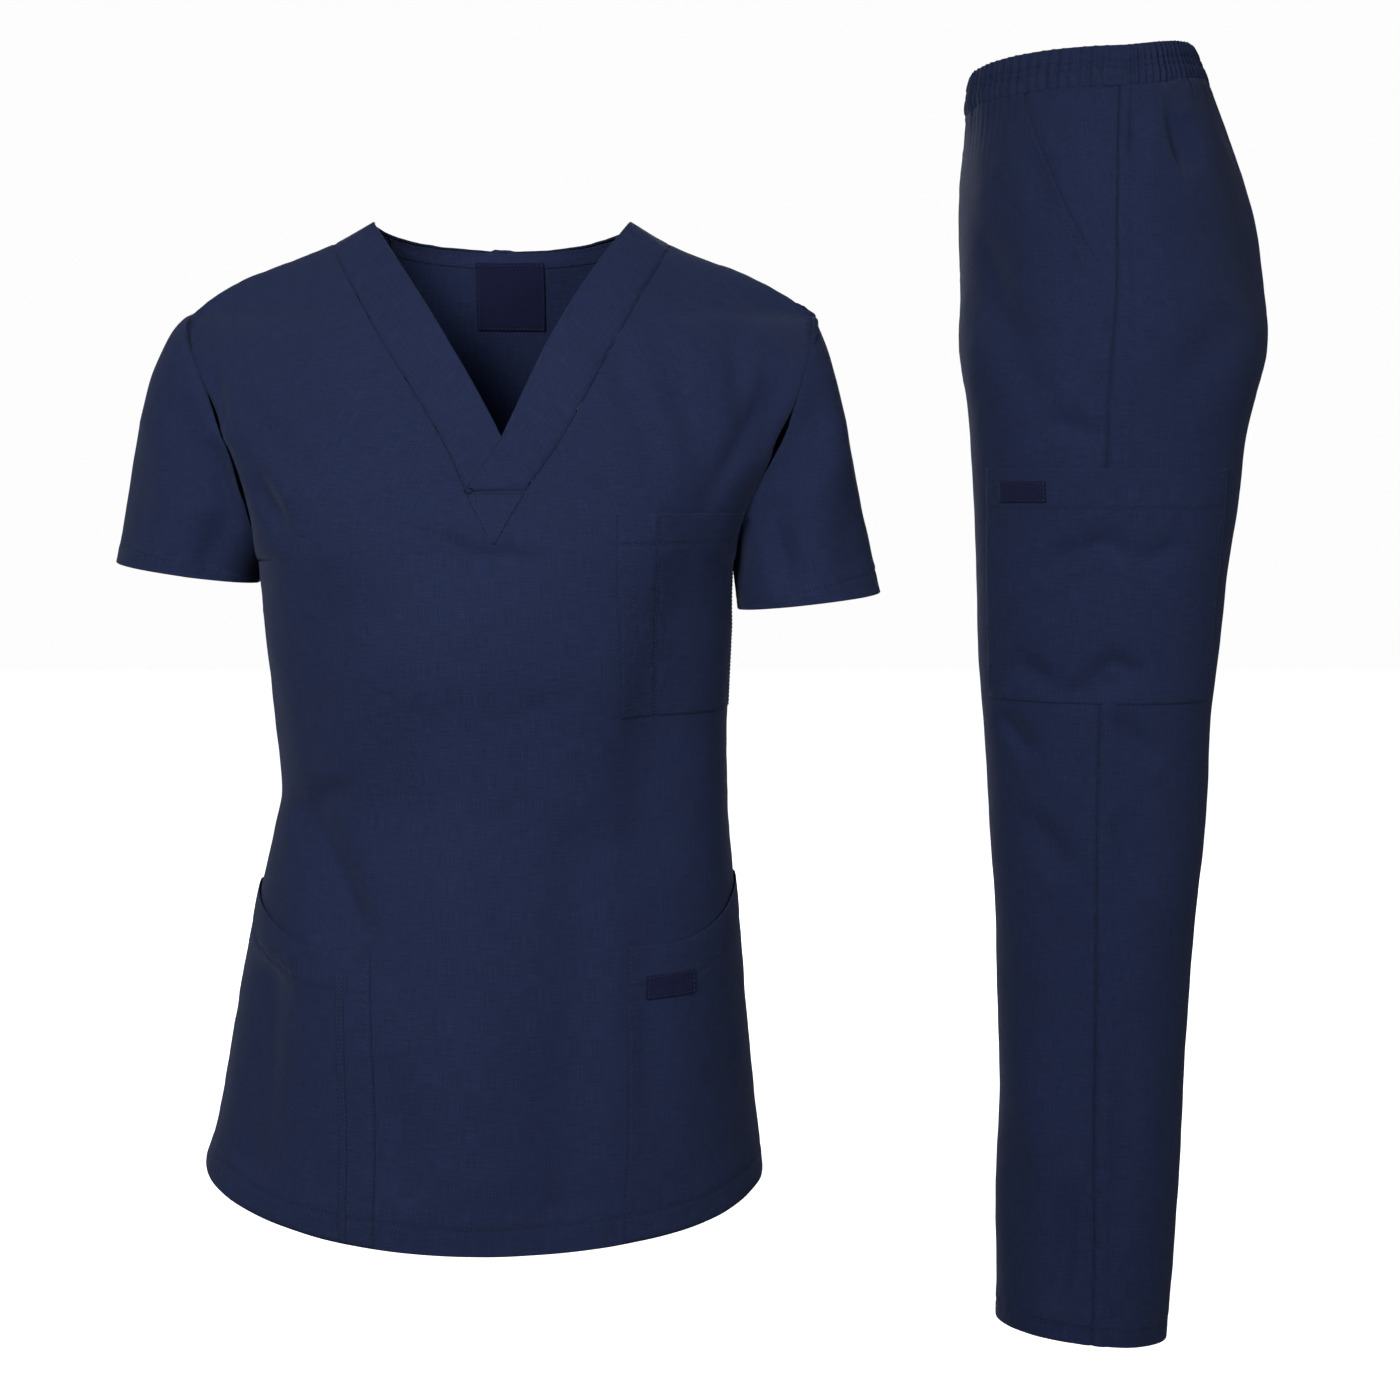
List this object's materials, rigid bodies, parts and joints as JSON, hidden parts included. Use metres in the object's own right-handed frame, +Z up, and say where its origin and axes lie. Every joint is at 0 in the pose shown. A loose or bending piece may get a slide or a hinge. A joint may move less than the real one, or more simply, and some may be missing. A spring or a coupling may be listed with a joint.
{
  "type": "medical scrubs",
  "caption": "Woven medical scrub set: a V-neck short-sleeved top with patch pockets and straight trousers with a gathered elastic waist, both filled out as worn.",
  "frame": {"origin": "midway between the top's two high shoulder points, where the wearer's shoulders hold it up", "axes": "+Z up; -Y is the front of the top, and the trousers' wearer's left side looks the same way; +X is the top's wearer's left, where the trousers stand"},
  "size_m": [0.8578, 0.5071, 0.9748],
  "materials": {
    "cloth": "matt poplin",
    "label": "satin woven",
    "tape": "matt twill"
  },
  "bodies": {
    "root": {"top_front": "cloth", "top_back": "cloth", "sleeve_left": "cloth", "sleeve_right": "cloth", "neckband_left": "cloth", "neckband_right": "cloth", "neck_triangle": "cloth", "chest_pocket": "cloth", "lower_pocket_left": "cloth", "lower_pocket_right": "cloth", "utility_strip": "cloth", "pocket_label": "label", "back_neck_tape": "tape", "neck_label": "label", "leg_front_left": "cloth", "leg_back_left": "cloth", "leg_front_right": "cloth", "leg_back_right": "cloth", "slant_pocket_left": "cloth", "slant_pocket_right": "cloth", "waistband": "cloth", "cargo_pocket": "cloth", "cargo_label": "label"}
  },
  "joints": []
}
